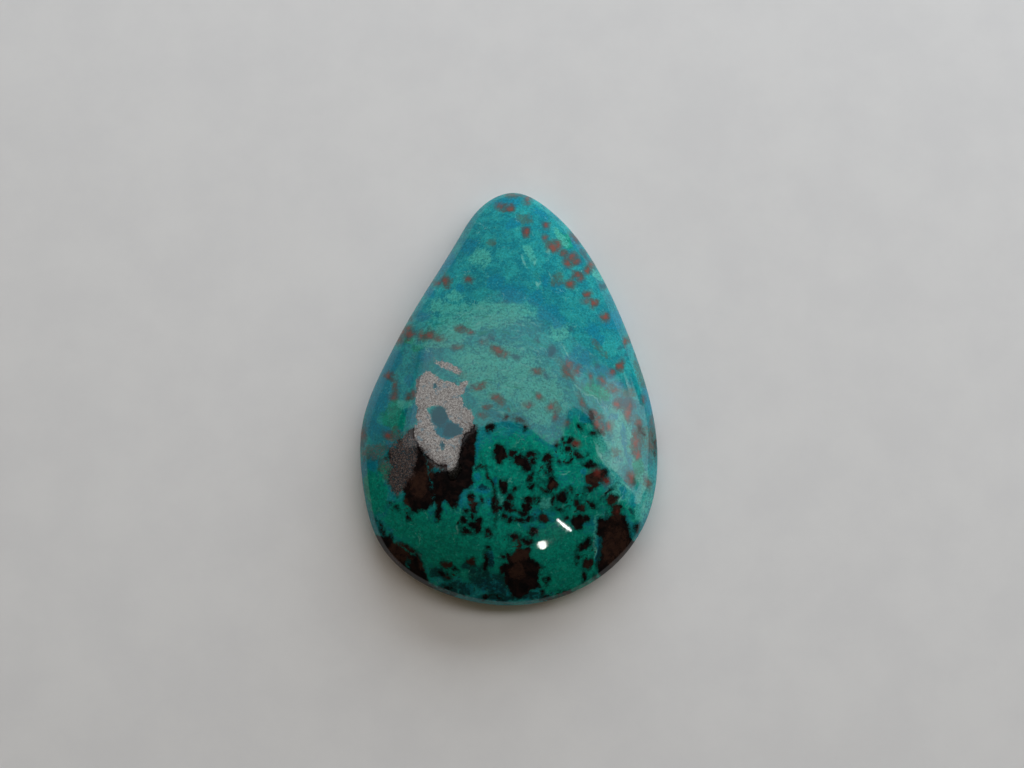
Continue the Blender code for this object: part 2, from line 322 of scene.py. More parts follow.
def from_middle(places: Array, middle: tuple[float, ...], size: tuple[float, ...],
                degrees: float) -> tuple[Array, Array]:
    """How far places lie from the middle of a turned oval.

    Args:
        places: The places, one row of two each.
        middle: The oval's middle.
        size: Its half width and half length.
        degrees: Its turn from the first axis towards the second.

    Returns:
        The distances across and along, as shares of the two sizes.
    """
    turn = math.radians(degrees)
    dx, dy = (places - middle).T
    return ((dx * math.cos(turn) + dy * math.sin(turn)) / size[0],
            (dy * math.cos(turn) - dx * math.sin(turn)) / size[1])


def add_object(name: str, data: bpy.types.ID) -> bpy.types.Object:
    """Adds an object with the given data to the scene."""
    thing = bpy.data.objects.new(name, data)
    bpy.context.scene.collection.objects.link(thing)
    return thing


def facing(axes: tuple[Array | Vector, ...], place: Vector) -> Matrix:
    """Where a camera or light stands, from its axes right, up and back and its place in mm."""
    stance = Matrix(axes).transposed().to_4x4()
    stance.translation = place * MM
    return stance


@dataclass(frozen=True)
class Swell:
    """A low swell left in the dome by hand polishing, in millimetres."""

    x: float
    y: float
    across: float
    along: float
    turn: float
    height: float

    def rise(self, places: Array) -> Array:
        """How far the swell lifts the dome: its height times exp(-u² - v²).

        Args:
            places: Places in the plan, one row of two millimetres each.

        Returns:
            The rise at each place. u and v are the distances from the middle
            across and along, as shares of the half width and half length.
        """
        u, v = from_middle(places, (self.x, self.y), (self.across, self.along), self.turn)
        return self.height * np.exp(-u ** 2 - v ** 2)


@dataclass(frozen=True)
class PearOutline:
    """The girdle seen from above, anticlockwise from the right flank."""

    corners: Rows = (
        (14.9, -4.8), (12.95, 3.8), (8.45, 14.3), (4.05, 19.6),
        (0.4, 21.3), (-2.4, 20.15), (-5.2, 16.3), (-12.3, 3.6),
        (-14.75, -2.9), (-14.6, -9.3), (-12.65, -15.4), (-10.5, -17.75),
        (-6.0, -20.2), (-0.5, -21.25), (6.5, -19.9), (13.2, -13.9),
    )
    samples: int = 3840
    span_steps: int = 400

    def curve(self) -> Array:
        """The closed cubic spline through the corners, cut into even steps.

        The parameter is the distance between neighbouring corners, and each
        span is the cubic whose bends meet those of its neighbours.

        Returns:
            One row of two millimetres for each sample.
        """
        places = np.array(self.corners, dtype=float)
        number = len(places)
        after = np.roll(places, -1, axis=0)
        spans = np.linalg.norm(after - places, axis=1)
        slopes = (after - places) / spans[:, None]
        before = np.roll(spans, 1)
        system = (np.diag(2.0 * (before + spans)) + np.roll(np.diag(spans), 1, axis=1)
                  + np.roll(np.diag(before), -1, axis=1))
        bends = np.linalg.solve(system, 6.0 * (slopes - np.roll(slopes, 1, axis=0)))
        next_bends = np.roll(bends, -1, axis=0)
        share = np.linspace(0.0, 1.0, self.span_steps, endpoint=False)[None, :, None]
        span = spans[:, None, None]
        along = share * span
        left = span - along
        cubic = (bends[:, None] * left ** 3 + next_bends[:, None] * along ** 3) / (6.0 * span)
        start = (places[:, None] / span - bends[:, None] * span / 6.0) * left
        end = (after[:, None] / span - next_bends[:, None] * span / 6.0) * along
        fine = (cubic + start + end).reshape(number * self.span_steps, 2)
        closed = np.vstack([fine, fine[:1]])
        lengths = np.linalg.norm(np.diff(closed, axis=0), axis=1)
        travelled = np.concatenate(([0.0], np.cumsum(lengths)))
        steps = np.linspace(0.0, travelled[-1], self.samples, endpoint=False)
        return np.column_stack([np.interp(steps, travelled, closed[:, 0]),
                                np.interp(steps, travelled, closed[:, 1])])

    def outward(self, curve: Array) -> Array:
        """The unit direction out of the curve at each of its samples.

        Args:
            curve: The samples, anticlockwise, one row of two each.

        Returns:
            The directions, one row of two each.
        """
        along = np.roll(curve, -1, axis=0) - np.roll(curve, 1, axis=0)
        across = np.column_stack([along[:, 1], -along[:, 0]])
        return across / np.linalg.norm(across, axis=1)[:, None]


@dataclass(frozen=True)
class CabochonForm:
    """The dome, wall, bevel and flat back as one closed surface."""

    thickness: float = 6.7
    rim_height: float = 1.8
    corner_radius: float = 0.30
    corner_start: float = math.radians(60.0)
    wall_lean: float = 0.25
    back_bevel: float = 0.35
    crown: tuple[float, float] = (0.0, -2.5)
    oval: tuple[float, float] = (15.0, 20.0)
    fullness: float = 0.985
    roundness: float = 0.62
    outline: PearOutline = PearOutline()
    swells: tuple[Swell, ...] = (
        Swell(-11.5, 9.5, 5.0, 6.0, -30.0, 1.40),
        Swell(14.0, 1.5, 4.5, 6.0, 20.0, 0.80),
        Swell(-5.0, -13.6, 4.4, 5.1, 7.0, 0.69),
        Swell(4.4, -9.5, 2.15, 4.2, 18.0, 0.21),
        Swell(10.4, -4.9, 2.05, 9.1, 35.0, 0.31),
        Swell(13.25, -14.5, 2.05, 6.65, 30.0, 0.73),
        Swell(8.95, -10.75, 2.75, 5.1, -5.0, 0.42),
    )
    net: int = 240
    crown_spread: float = 0.25
    corner_rows: int = 4
    wall_rows: int = 6
    bevel_rows: int = 3
    back_rows: int = 22

    def around(self, turns: Array) -> tuple[Array, Array]:
        """The girdle and its outward direction at shares of one turn.

        Args:
            turns: Shares of the way round, 0 to 1 from the right flank.

        Returns:
            The places and the unit directions, one row of two each.
        """
        curve = self.outline.curve()
        grid = np.arange(self.outline.samples) / self.outline.samples
        girdle, away = (np.column_stack([np.interp(turns, grid, column, period=1.0)
                                         for column in table.T])
                        for table in (curve, self.outline.outward(curve)))
        return girdle, away

    def dome(self, share: Array, turns: Array) -> Array:
        """The dome over two parameters.

        The height falls from the crown as (1 - fullness * share²) to the power
        roundness, is brought to the rim height at share 1, and the swells are
        added. The place runs from the crown over ovals out to the rim.

        Args:
            share: 0 at the crown to 1 at the rim.
            turns: Share of the way round.

        Returns:
            One row of three millimetres for each pair.
        """
        girdle, away = self.around(turns)
        rim = girdle - self.corner_radius * (1.0 - math.sin(self.corner_start)) * away
        middle = np.array(self.crown)
        reach = rim - middle
        angle = np.arctan2(reach[:, 1] / self.oval[1], reach[:, 0] / self.oval[0])
        oval = np.column_stack([self.oval[0] * np.cos(angle), self.oval[1] * np.sin(angle)])
        step = share[:, None]
        places = middle + step * ((1.0 - step) * oval + step * reach)
        depth = self.thickness - self.rim_height
        fall = (1.0 - self.fullness * share ** 2) ** self.roundness
        left_over = (1.0 - self.fullness) ** self.roundness
        heights = self.rim_height + depth * (fall - left_over * share ** 2)
        for swell in self.swells:
            heights = heights + swell.rise(places)
        return np.column_stack([places, heights])

    def crown_net(self) -> tuple[Array, Array]:
        """Share and turn of every knot of the square net laid over the dome.

        A square of knots is drawn out to a disc: the larger of the two
        distances gives the share, and the other one the turn.

        Returns:
            The shares and the turns, row by row.
        """
        steps = np.linspace(-1.0, 1.0, self.net + 1)
        right, up = np.meshgrid(steps, steps, indexing="ij")
        right, up = right.ravel(), up.ravel()
        wide = np.abs(right) >= np.abs(up)
        larger = np.where(wide, right, up)
        smaller = np.where(wide, up, -right)
        safe = np.where(larger == 0.0, 1.0, larger)
        lead = np.where(wide, np.where(right >= 0.0, 0.0, 4.0), np.where(up > 0.0, 2.0, 6.0))
        turns = (lead + smaller / safe) / 8.0
        radius = np.abs(larger)
        share = radius * (1.0 + self.crown_spread * (1.0 - radius))
        return share, turns % 1.0

    def skirt(self, turns: Array, rim_heights: Array) -> Array:
        """The rows below the rim: round corner, leaning wall, bevel and back.

        Args:
            turns: Share of the way round of each knot of the rim.
            rim_heights: The rim's height at each of them.

        Returns:
            Rows by knots by three millimetres, without the rim itself.
        """
        girdle, away = self.around(turns)
        bend = np.linspace(self.corner_start, 0.5 * math.pi, self.corner_rows + 1)[1:]
        corner_in = self.corner_radius * (1.0 - np.sin(bend))
        corner_drop = self.corner_radius * (math.cos(self.corner_start) - np.cos(bend))
        corner_z = rim_heights[None, :] - corner_drop[:, None]
        wall_share, bevel_share = (np.arange(1, rows + 1) / rows
                                   for rows in (self.wall_rows, self.bevel_rows))
        wall_z = corner_z[-1] + (self.back_bevel - corner_z[-1]) * wall_share[:, None]
        bevel_z = np.repeat(self.back_bevel * (1.0 - bevel_share[:, None]), len(turns), axis=1)
        inset = np.concatenate([corner_in, self.wall_lean * wall_share,
                                self.wall_lean + self.back_bevel * bevel_share])
        places = girdle[None] - inset[:, None, None] * away[None]
        sides = np.dstack([places, np.vstack([corner_z, wall_z, bevel_z])])
        back_share = np.linspace(1.0, 0.0, self.back_rows + 1)[1:-1, None, None]
        middle = np.array([self.crown[0], self.crown[1], 0.0])
        back = middle + (sides[-1][None] - middle) * back_share
        return np.concatenate([sides, back])

    def skin(self) -> tuple[Array, list[tuple[int, ...]]]:
        """All knots of the stone in millimetres, and the faces between them.

        Returns:
            The knots, one row of three each, and the faces, which turn
            anticlockwise seen from outside.
        """
        share, turns = self.crown_net()
        top = self.dome(share, turns)
        side = self.net + 1
        numbers = np.arange(side * side).reshape(side, side)
        crown_faces = np.column_stack([numbers[:-1, :-1].ravel(), numbers[1:, :-1].ravel(),
                                       numbers[1:, 1:].ravel(), numbers[:-1, 1:].ravel()])
        edge = np.concatenate([numbers[-1, :-1], numbers[::-1, -1][:-1],
                               numbers[0, ::-1][:-1], numbers[:-1, 0]])
        edge = edge[np.argsort(turns[edge])]
        below = self.skirt(turns[edge], top[edge, 2])
        rows, around = below.shape[:2]
        low = np.arange(rows * around).reshape(rows, around) + len(top)
        ladder = np.vstack([edge[None], low])
        following = np.roll(ladder, -1, axis=1)
        band_faces = np.stack([ladder[:-1], ladder[1:], following[1:], following[:-1]], axis=2)
        pole = len(top) + rows * around
        fan = np.column_stack([ladder[-1], np.full(around, pole), following[-1]])
        knots = np.vstack([top, below.reshape(-1, 3), [[self.crown[0], self.crown[1], 0.0]]])
        faces = [tuple(face) for table in (crown_faces, band_faces.reshape(-1, 4), fan)
                 for face in table.tolist()]
        return knots, faces


@dataclass(frozen=True)
class PhotoCamera:
    """The camera of the photo: where it stands and how large it shows things."""

    elevation: float = math.radians(78.0)
    distance: float = 260.0
    aim: Triple = (0.335, 1.35, 1.1)
    scale: float = 9.867
    sensor: float = 36.0
    clip: tuple[float, float] = (0.01, 20.0)

    def axes(self) -> tuple[Array, Array, Array]:
        """The unit directions of the picture.

        Returns:
            Right, up, and back out of the picture.
        """
        back = np.array([0.0, -math.cos(self.elevation), math.sin(self.elevation)])
        right = np.array([1.0, 0.0, 0.0])
        return right, np.cross(back, right), back

    def stand(self) -> Array:
        """Where the camera is, in millimetres."""
        return np.array(self.aim) + self.distance * self.axes()[2]

    def seen(self, points: Array) -> Array:
        """Where each point shows in the photo, in pixels across and down.

        Args:
            points: Places, one row of three millimetres each.

        Returns:
            One row of two pixels for each point.
        """
        right, up, back = self.axes()
        offset = points - self.stand()
        depth = -(offset @ back)
        reach = self.scale * self.distance / depth
        return np.column_stack([0.5 * PHOTO_WIDE + (offset @ right) * reach,
                                0.5 * PHOTO_TALL - (offset @ up) * reach])

    def build(self) -> bpy.types.Object:
        """Puts the camera into the scene and makes it the one in use.

        Returns:
            The camera.
        """
        lens = bpy.data.cameras.new("camera")
        lens.sensor_fit = "HORIZONTAL"
        lens.sensor_width = self.sensor
        lens.lens = self.scale * self.distance * self.sensor / PHOTO_WIDE
        lens.clip_start, lens.clip_end = self.clip
        lens.dof.use_dof = False
        camera = add_object("camera", lens)
        camera.matrix_world = facing(self.axes(), Vector(self.stand()))
        bpy.context.scene.camera = camera
        return camera


@dataclass(frozen=True)
class Markings:
    """Lays the minerals over the skin as fields in millimetres."""

    camera: PhotoCamera = PhotoCamera()
    drift: tuple[tuple[float, float, int], ...] = ((1.3, 1.3, 11), (0.7, 0.55, 23))
    buried_drift: tuple[float, float, int] = (9.0, 5.0, 41)
    fade: tuple[float, float] = (0.55, 1.45)
    reach: float = 30.0
    ground_edge: tuple[float, float] = (0.3, 1.4)
    wisp_middle: tuple[float, float] = (495.0, 470.0)
    wisp_sway: tuple[float, float, int] = (0.25, 4.0, 57)
    wisp_heart: float = 2.0

    def stir(self, knots: Array, drift: tuple[float, float, int]) -> Array:
        """Chance steps across and down: amount, size of the ripple in mm and seed."""
        amount, size, seed = drift
        return amount * np.column_stack([ripple(knots, size, seed), ripple(knots, size, seed + 1)])

    def places(self, knots: Array, height: float) -> Array:
        """Where each knot lies in the photo, stirred so that no shore is even.

        Below the rim the stirring grows, so the wall and the back carry their
        own pattern and no copy of the dome's.

        Args:
            knots: The knots of the skin in millimetres.
            height: The height of the rim in millimetres.

        Returns:
            One row of two pixels for each knot.
        """
        at = self.camera.seen(knots)
        for drift in self.drift:
            at = at + self.stir(knots, drift)
        buried = smooth_step(-knots[:, 2], -height, 0.0)[:, None]
        return at + buried * self.stir(knots, self.buried_drift)

    def nearness(self, row: tuple[float, ...], at: Array) -> Array:
        """How far each place is from a mark's middle, as a share of its size.

        Args:
            row: The mark.
            at: Places in pixels, one row of two each.

        Returns:
            0 in the middle and 1 on the rim of the mark's oval.
        """
        return np.hypot(*from_middle(at, row[:2], row[2:4], sum(row[4:])))

    def soft(self, rows: Rows, at: Array) -> Array:
        """A stain that is 1 inside its marks and fades to 0 outside them."""
        nearest = np.min([self.nearness(row, at) for row in rows], axis=0)
        return 1.0 - smooth_step(nearest, *self.fade)

    def crisp(self, rows: Rows, at: Array) -> Array:
        """Pixels inside the nearest mark, negative outside."""
        inside = [(1.0 - self.nearness(row, at)) * min(row[2], row[3]) for row in rows]
        return np.maximum(np.max(inside, axis=0), -self.reach)

    def within(self, corners: Rows, at: Array) -> Array:
        """Pixels inside a closed line of corners, negative outside.

        A place is inside where a ray to the right crosses the line an odd
        number of times.

        Args:
            corners: The line's corners in pixels.
            at: Places in pixels, one row of two each.

        Returns:
            The distance to the line for each place, with its sign.
        """
        line = np.array(corners, dtype=float)
        nearest = np.full(len(at), np.inf)
        inside = np.zeros(len(at), dtype=bool)
        for start, end in zip(line, np.roll(line, -1, axis=0)):
            run = end - start
            offset = at - start
            share = np.clip((offset @ run) / (run @ run), 0.0, 1.0)[:, None]
            nearest = np.minimum(nearest, np.linalg.norm(offset - share * run, axis=1))
            crosses = (start[1] > at[:, 1]) != (end[1] > at[:, 1])
            rise = end[1] - start[1] if end[1] != start[1] else 1.0
            meets = start[0] + (at[:, 1] - start[1]) * run[0] / rise
            inside ^= crosses & (at[:, 0] < meets)
        return np.where(inside, nearest, -nearest)

    def fields(self, knots: Array, form: CabochonForm) -> dict[Mineral, Array]:
        """Every mineral's field over the knots.

        Args:
            knots: The knots of the skin in millimetres.
            form: The stone's form, for the height of its rim.

        Returns:
            Stains as shares from 0 to 1, and crisp minerals as millimetres
            inside their shore.
        """
        at = self.places(knots, form.rim_height)
        found = {kind: self.soft(rows, at) for kind, rows in SOFT_MARKS.items()}
        for kind, rows in CRISP_MARKS.items():
            found[kind] = self.crisp(rows, at)
        for mass in OXIDE_MASSES:
            found[Mineral.OXIDE] = np.maximum(found[Mineral.OXIDE], self.within(mass, at))
        holes = self.crisp(ISLAND_MARKS, at)
        for island in ISLANDS:
            holes = np.maximum(holes, self.within(island, at))
        found[Mineral.OXIDE] = np.minimum(found[Mineral.OXIDE], -holes)
        for kind in CRISP_MARKS:
            found[kind] = np.maximum(found[kind], -self.reach) / self.camera.scale
        found[Mineral.POLISH] = smooth_step(knots[:, 2], *self.ground_edge)
        return found

    def wisp_course(self, knots: Array, form: CabochonForm) -> Array:
        """Across and along the arcs in which the fibres of the stone run.

        Args:
            knots: The knots of the skin in millimetres.
            form: The stone's form, for the height of its rim.

        Returns:
            One row of three: millimetres out from the arcs' middle,
            millimetres along the arc, and 0.
        """
        at = self.places(knots, form.rim_height)
        offset = (at - np.array(self.wisp_middle)) / self.camera.scale
        out = np.hypot(offset[:, 0], offset[:, 1])
        along = np.arctan2(offset[:, 0], -offset[:, 1]) * np.maximum(out, self.wisp_heart)
        sway, size, seed = self.wisp_sway
        return np.column_stack([out + sway * ripple(knots, size, seed), along, 0.0 * out])


class NodeSheet:
    """The nodes of a finish or of the room, added and joined in one place."""

    def __init__(self, owner: bpy.types.ID) -> None:
        """Opens the nodes of a material or a world."""
        owner.use_nodes = True
        self.tree = owner.node_tree

    def put(self, socket: Socket, value: object) -> None:
        """Joins a socket to another one, or sets its number or colour.

        Args:
            socket: The input.
            value: An output socket, a number or a colour.
        """
        if isinstance(value, Socket):
            self.tree.links.new(value, socket)
        elif socket.type == "RGBA":
            socket.default_value = (*value, 1.0)
        else:
            socket.default_value = value

    def node(self, kind: str, output: str | int, inputs: dict[str | int, object],
             **settings: str) -> Socket:
        """Adds a node.

        Args:
            kind: Its type, without the word ShaderNode in front.
            output: The output to give back, by name or number.
            inputs: What goes into its inputs, by name or number.
            settings: Its settings, by name.

        Returns:
            The output.
        """
        node = self.tree.nodes.new("ShaderNode" + kind)
        for name, setting in settings.items():
            setattr(node, name, setting)
        for name, value in inputs.items():
            self.put(node.inputs[name], value)
        return node.outputs[output]

    def field(self, kind: str, output: str = "Fac") -> Socket:
        """Reads a field laid over the skin."""
        return self.node("Attribute", output, {}, attribute_name=kind)

    def stretch(self, where: Socket, scale: Triple) -> Socket:
        """Stretches a place by a scale along each axis."""
        return self.node("Mapping", "Vector", {"Vector": where, "Scale": scale})

    def place(self) -> Socket:
        """The place on the piece in millimetres."""
        return self.stretch(self.node("TexCoord", "Object", {}), (1.0 / MM, 1.0 / MM, 1.0 / MM))

    def noise(self, where: Socket, per_mm: float, detail: float = 3.0, rough: float = 0.55,
              twist: float = 0.0) -> Socket:
        """Cloudy noise.

        Args:
            where: The place in millimetres.
            per_mm: Clouds in one millimetre.
            detail: Levels of finer clouds.
            rough: How strong the finer levels are.
            twist: How far the clouds are drawn about.

        Returns:
            A value about 0.5, mostly from 0.2 to 0.8.
        """
        return self.node("TexNoise", "Fac", {"Vector": where, "Scale": per_mm, "Detail": detail,
                                             "Roughness": rough, "Distortion": twist})

    def ramp(self, value: Socket, low: float, high: float, start: float = 0.0,
             end: float = 1.0) -> Socket:
        """A smooth ramp from start at low to end at high."""
        return self.node("MapRange", "Result", {"Value": value, "From Min": low, "From Max": high,
                                                "To Min": start, "To Max": end},
                         interpolation_type="SMOOTHSTEP")

    def reckon(self, operation: str, first: object, second: object = 0.0) -> Socket:
        """One step of arithmetic, by its name."""
        return self.node("Math", "Value", {0: first, 1: second}, operation=operation)

    def sum(self, first: object, second: object) -> Socket:
        """First plus second."""
        return self.reckon("ADD", first, second)

    def product(self, first: object, second: object) -> Socket:
        """First times second."""
        return self.reckon("MULTIPLY", first, second)

    def swing(self, noise: Socket, by: float) -> Socket:
        """A noise brought down to lie about 0, times an amount."""
        return self.product(self.sum(noise, -NOISE_MIDDLE), by)

    def frayed(self, kind: str, noise: Socket, by: float) -> Socket:
        """A field laid over the skin, with its shores frayed by a noise times an amount."""
        return self.sum(self.field(kind), self.product(noise, by))

    def blend(self, share: object, first: object, second: object, mode: str = "MIX") -> Socket:
        """Colour that goes from first to second as share goes from 0 to 1."""
        return self.node("Mix", 2, {"Factor": share, 6: first, 7: second},
                         data_type="RGBA", blend_type=mode)

    def over(self, colour: object, tint: object, value: Socket, low: float, high: float,
             most: float = 1.0) -> Socket:
        """Lays a tint over a colour where a value is high.

        Args:
            colour: The colour below.
            tint: The colour laid over it.
            value: What says where the tint lies.
            low: The value at which the tint begins.
            high: The value from which it is at its strongest.
            most: Its share there.

        Returns:
            The colour with the tint over it.
        """
        return self.blend(self.ramp(value, low, high, 0.0, most), colour, tint)


@dataclass(frozen=True)
class PolishedChrysocolla:
    """The finish of the stone: its minerals' colours and its polish."""

    teal: Colour = (0.004, 0.194, 0.240)
    teal_light: Colour = (0.014, 0.298, 0.305)
    blue: Colour = (0.002, 0.187, 0.278)
    green: Colour = (0.001, 0.202, 0.152)
    green_light: Colour = (0.002, 0.330, 0.230)
    pale: Colour = (0.058, 0.385, 0.325)
    deep: Colour = (0.003, 0.030, 0.040)
    blue_dark: Colour = (0.002, 0.110, 0.165)
    olive: Colour = (0.055, 0.090, 0.065)
    slate: Colour = (0.016, 0.096, 0.136)
    # Pale colour of the veins, fibres and threads, also used for the painted glints
    vein_and_glint: Colour = (0.160, 0.480, 0.420)
    cuprite: Colour = (0.235, 0.061, 0.046)
    cuprite_deep: Colour = (0.140, 0.024, 0.019)
    cuprite_dark: Colour = (0.070, 0.048, 0.044)
    oxide_dark: Colour = (0.090, 0.078, 0.074)
    oxide_blue: Colour = (0.120, 0.190, 0.225)
    oxide_bright: Colour = (0.345, 0.335, 0.320)
    black: Colour = (0.0035, 0.0030, 0.0035)
    brown_dark: Colour = (0.016, 0.008, 0.007)
    brown: Colour = (0.040, 0.019, 0.013)
    pinkish: Colour = (0.170, 0.140, 0.136)
    smoke: Colour = (0.001, 0.040, 0.034)
    refraction: float = 1.50
    polish: float = 0.03
    sawn: float = 0.45
    wear: float = 0.02
    dent: float = 0.00001
    dent_strength: float = 0.035

    def minerals(self, sheet: NodeSheet, where: Socket) -> Socket:
        """The chrysocolla itself: teal, green, pale, blue and deep clouds.

        Args:
            sheet: The finish's nodes.
            where: The place in millimetres.

        Returns:
            The colour before any other mineral lies on it.
        """
        mottle = sheet.noise(where, 1.9, 4.0, 0.65, 0.5)
        grain = sheet.noise(where, 5.0, 2.0, 0.6)
        drift = sheet.sum(sheet.noise(where, 0.55, 4.0, 0.6, 0.4), sheet.swing(mottle, 0.6))
        uneven = sheet.sum(sheet.swing(mottle, 2.6), sheet.swing(grain, 1.3))
        greens = sheet.over(self.green, self.green_light, mottle, 0.42, 0.66)
        colour = sheet.over(self.teal, self.teal_light, drift, 0.38, 0.66)
        for kind, tint, fray, low, high, most in (("green", greens, 0.7, 0.25, 0.80, 1.0),
                                                  ("pale", self.pale, 0.9, 0.35, 1.15, 0.80),
                                                  ("blue", self.blue, 0.8, 0.30, 0.90, 0.85),
                                                  ("deep", self.deep, 1.1, 0.25, 1.05, 0.92)):
            colour = sheet.over(colour, tint, sheet.frayed(kind, uneven, fray), low, high, most)
        tufts = sheet.noise(where, 2.9, 5.0, 0.72, 0.7)
        colour = sheet.over(colour, self.pale, tufts, 0.54, 0.72, 0.60)
        hollows = sheet.noise(where, 3.3, 5.0, 0.72, 0.9)
        colour = sheet.over(colour, self.blue_dark, hollows, 0.58, 0.76, 0.50)
        return sheet.blend(1.0, colour, sheet.ramp(grain, 0.30, 0.72, 0.76, 1.22), "MULTIPLY")

    def wisps(self, sheet: NodeSheet, where: Socket, colour: Socket) -> Socket:
        """Fine pale and dark fibres that run in arcs through the stone, and pale threads.

        Args:
            sheet: The finish's nodes.
            where: The place in millimetres.
            colour: The colour below.

        Returns:
            The colour with the fibres over it.
        """
        course = sheet.field("wisp course", "Vector")
        fibre = sheet.noise(sheet.stretch(course, (3.2, 0.55, 1.0)), 1.0, 4.0, 0.6, 0.6)
        amount = sheet.field("wisps")
        light = sheet.product(sheet.ramp(fibre, 0.54, 0.76, 0.0, 0.50), amount)
        dark = sheet.product(sheet.ramp(fibre, 0.47, 0.30, 0.0, 0.70), amount)
        colour = sheet.blend(dark, sheet.blend(light, colour, self.vein_and_glint), self.green)
        bend = sheet.sum(sheet.noise(where, 0.35, 4.0, 0.55, 1.2), -NOISE_MIDDLE)
        line = sheet.ramp(sheet.reckon("ABSOLUTE", bend), 0.0, 0.012, 1.0, 0.0)
        broken = sheet.ramp(sheet.noise(where, 0.7, 4.0, 0.7), 0.50, 0.70, 0.0, 0.6)
        lit = sheet.ramp(sheet.field("deep"), 0.1, 0.6, 1.0, 0.0)
        return sheet.blend(sheet.product(sheet.product(line, broken), lit), colour, self.vein_and_glint)

    def metal(self, sheet: NodeSheet, clouds: Socket, speckle: Socket) -> Socket:
        """The grey metallic oxide: dark and bright grains with blue clouds."""
        shine = sheet.sum(sheet.field("shine"), -1.0)
        bright = sheet.sum(speckle, sheet.product(shine, 0.22))
        grains = sheet.over(self.oxide_dark, self.oxide_bright, bright, 0.32, 0.66)
        return sheet.over(grains, self.oxide_blue, clouds, 0.54, 0.66, 0.75)

    def burnt(self, sheet: NodeSheet, clouds: Socket, shore: Socket) -> Socket:
        """The dull oxide: black, and brown where its field says so."""
        dull = sheet.over(self.black, self.brown_dark, clouds, 0.42, 0.66)
        browns = sheet.over(self.brown_dark, self.brown, clouds, 0.34, 0.62)
        return sheet.over(dull, browns, sheet.frayed("brown", shore, 1.6), 0.20, 0.90)

    def build(self) -> bpy.types.Material:
        """Makes the finish.

        Returns:
            The material, for a skin that carries the fields.
        """
        material = bpy.data.materials.new("polished chrysocolla")
        sheet = NodeSheet(material)
        where = sheet.place()
        shore = sheet.sum(sheet.swing(sheet.noise(where, 2.6, 3.0, 0.6, 0.6), 0.50),
                          sheet.swing(sheet.noise(where, 7.5, 4.0, 0.7), 0.45))
        speckle = sheet.noise(where, 7.5, 3.0, 0.7, 0.8)
        clouds = sheet.noise(where, 1.6, 5.0, 0.65, 0.4)
        pepper, rose, shine = (sheet.field(kind) for kind in ("pepper", "rose", "shine"))

        # Veins with a few painted glints among them, olive and slate stains
        colour = self.wisps(sheet, where, self.minerals(sheet, where))
        for kind, tint, fray, low, high, most in (("vein_and_glint", self.vein_and_glint, 0.25, -0.06, 0.06, 0.75),
                                                  ("olive", self.olive, 3.5, 0.35, 1.25, 0.70),
                                                  ("slate", self.slate, 1.0, -0.22, 0.22, 0.85)):
            colour = sheet.over(colour, tint, sheet.frayed(kind, shore, fray), low, high, most)

        # Cuprite spots with their dark halos
        red_line = sheet.frayed("cuprite", shore, 0.60)
        colour = sheet.over(colour, self.cuprite_dark, red_line, -0.42, 0.10, 0.62)
        glow = sheet.sum(red_line, sheet.swing(speckle, 0.6))
        ember = sheet.ramp(glow, -0.06, 0.34, 0.0, 0.9)
        reds = sheet.blend(pepper, self.cuprite, self.cuprite_deep)
        colour = sheet.blend(ember, colour, reds)

        # Smoke round the oxides and through the peppered ground
        smoke = sheet.sum(sheet.noise(where, 1.5, 5.0, 0.68, 0.6), sheet.product(pepper, 0.10))
        haze = sheet.product(sheet.ramp(smoke, 0.56, 0.76, 0.0, 0.75), pepper)
        ragged = sheet.product(shore, sheet.sum(sheet.product(rose, 1.8), 1.0))
        oxide_line = sheet.sum(sheet.field("oxide"), ragged)
        rim = sheet.product(sheet.ramp(oxide_line, -0.34, 0.0, 0.0, 0.72),
                            sheet.ramp(shine, 0.0, 0.6, 1.0, 0.0))
        colour = sheet.blend(rim, sheet.blend(haze, colour, self.smoke), self.smoke)

        # Oxides: metallic, rosy with slate gaps, brown and black
        dots = sheet.sum(sheet.noise(where, 3.2, 3.0, 0.6, 0.2), sheet.product(pepper, 0.16))
        oxide = sheet.reckon("MAXIMUM", sheet.ramp(oxide_line, -0.09, 0.09),
                             sheet.ramp(dots, 0.745, 0.800))
        rosy = sheet.ramp(sheet.frayed("rose", shore, 1.6), 0.25, 0.90)
        flakes = sheet.product(rosy, sheet.ramp(speckle, 0.44, 0.62))
        gaps = sheet.product(rosy, sheet.ramp(speckle, 0.47, 0.36, 0.0, 0.8))
        burnt = sheet.blend(flakes, self.burnt(sheet, clouds, shore), self.pinkish)
        burnt = sheet.blend(gaps, burnt, self.slate)
        colour = sheet.blend(sheet.product(flakes, 0.60), colour, self.pinkish)
        ore = sheet.frayed("shine", shore, 0.5)
        ores = sheet.over(burnt, self.metal(sheet, clouds, speckle), ore, 0.42, 0.60)
        colour = sheet.blend(oxide, colour, ores)
        coals = sheet.product(sheet.product(ember, pepper), 0.85)
        colour = sheet.blend(coals, colour, self.cuprite_deep)

        polish = sheet.ramp(sheet.field("polish"), 0.0, 1.0, self.sawn, self.polish)
        worn = sheet.ramp(sheet.noise(where, 0.8, 4.0, 0.6), 0.45, 0.75, 0.0, self.wear)
        fine = sheet.sum(sheet.noise(where, 4.0, 3.0, 0.6), sheet.product(oxide, 0.06))
        dented = sheet.node("Bump", "Normal", {"Height": fine, "Strength": self.dent_strength,
                                               "Distance": self.dent})
        shader = sheet.tree.nodes["Principled BSDF"].inputs
        sheet.put(shader["Base Color"], colour)
        sheet.put(shader["Metallic"], sheet.product(oxide, sheet.ramp(ore, 0.30, 0.44)))
        sheet.put(shader["Roughness"], sheet.sum(polish, worn))
        sheet.put(shader["IOR"], self.refraction)
        sheet.put(shader["Normal"], dented)
        material.diffuse_color = (*self.teal, 1.0)
        return material


